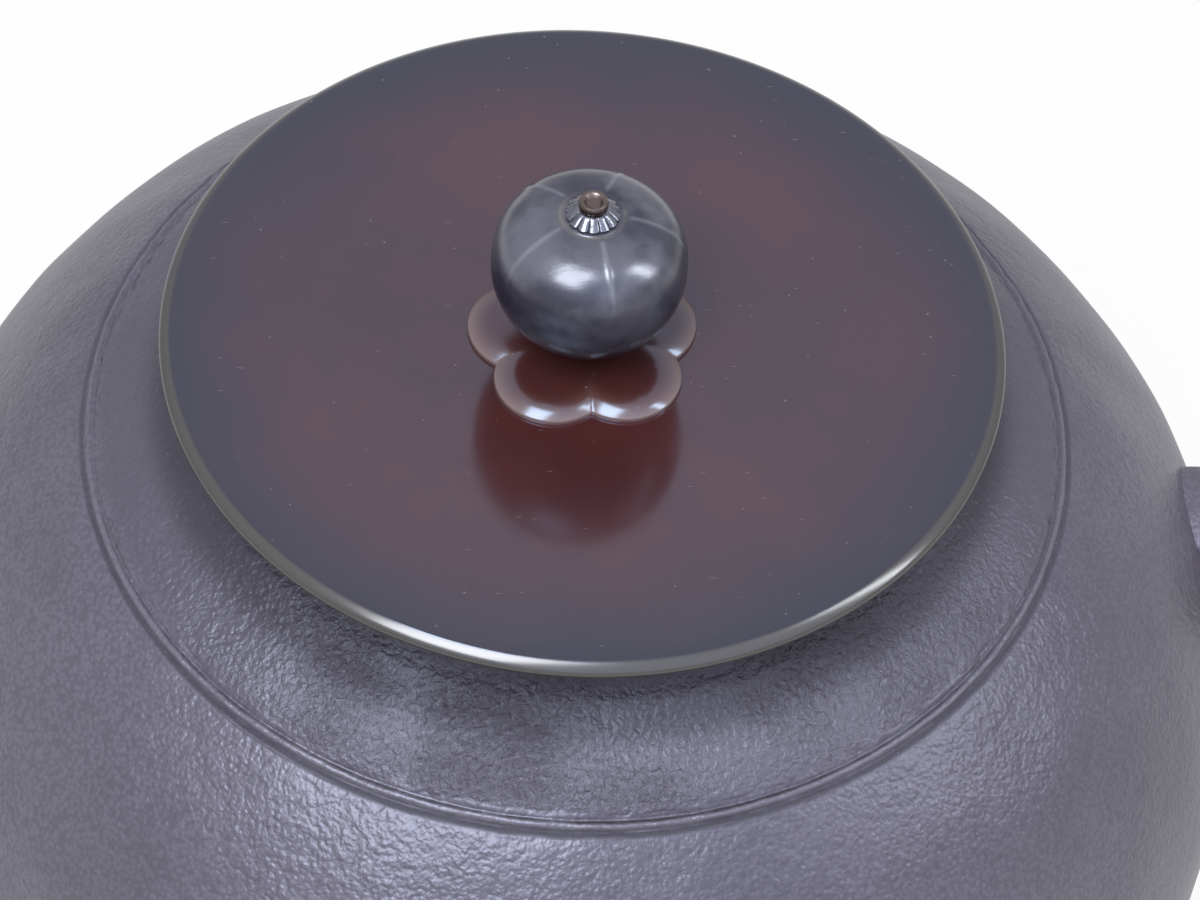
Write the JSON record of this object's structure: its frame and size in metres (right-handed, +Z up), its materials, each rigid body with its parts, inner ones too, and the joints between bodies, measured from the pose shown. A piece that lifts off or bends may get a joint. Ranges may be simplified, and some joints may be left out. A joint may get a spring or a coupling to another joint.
{
  "type": "chagama tea kettle",
  "caption": "Round cast-iron tea kettle with ring lugs, a scooped bronze lid that lifts off and a fruit-shaped knob that swivels on its rivet over a blossom seat.",
  "frame": {"origin": "middle of the flat base, where the kettle stands", "axes": "+Z up along the kettle's axis, +X through the right lug, +Y away from the viewer"},
  "size_m": [0.2636, 0.233, 0.1803],
  "materials": {
    "kettle_iron": "matt dark grey cast skin, finely pebbled, rougher inside the shoulder thread",
    "plate_iron": "dark scaled iron",
    "black_lacquer": "black lacquer mixed with iron powder",
    "lid_bronze": "polished red-brown patina",
    "seat_bronze": "polished red-brown patina, worn paler along the petals' edges",
    "knob_metal": "polished blue-grey patina",
    "crown_metal": "worn bright flutes, dark in the hollows",
    "rivet_copper": "worn copper brown"
  },
  "bodies": {
    "kettle": {"kettle_body": "kettle_iron", "left_lug": "kettle_iron", "right_lug": "kettle_iron", "singing_plate_1": "plate_iron", "singing_plate_2": "plate_iron", "singing_plate_3": "plate_iron", "singing_plate_4": "plate_iron", "singing_plate_5": "plate_iron", "lacquer_bed_1": "black_lacquer", "lacquer_bed_2": "black_lacquer", "lacquer_bed_3": "black_lacquer", "lacquer_bed_4": "black_lacquer", "lacquer_bed_5": "black_lacquer"},
    "lid": {"lid_plate": "lid_bronze", "knob_seat": "seat_bronze", "knob_rivet": "rivet_copper", "under_washer": "rivet_copper"},
    "lid_knob": {"knob": "knob_metal", "knob_crown": "crown_metal"}
  },
  "joints": [
    {"name": "lid_lift", "type": "slide", "parent": "kettle", "child": "lid", "axis": [0, 0, 1], "range_m": [0, 0.15]},
    {"name": "knob_swivel", "type": "hinge", "parent": "lid", "child": "lid_knob", "pos_m": [0, 0, 0.1664], "axis": [0, 0, 1], "continuous": true}
  ]
}
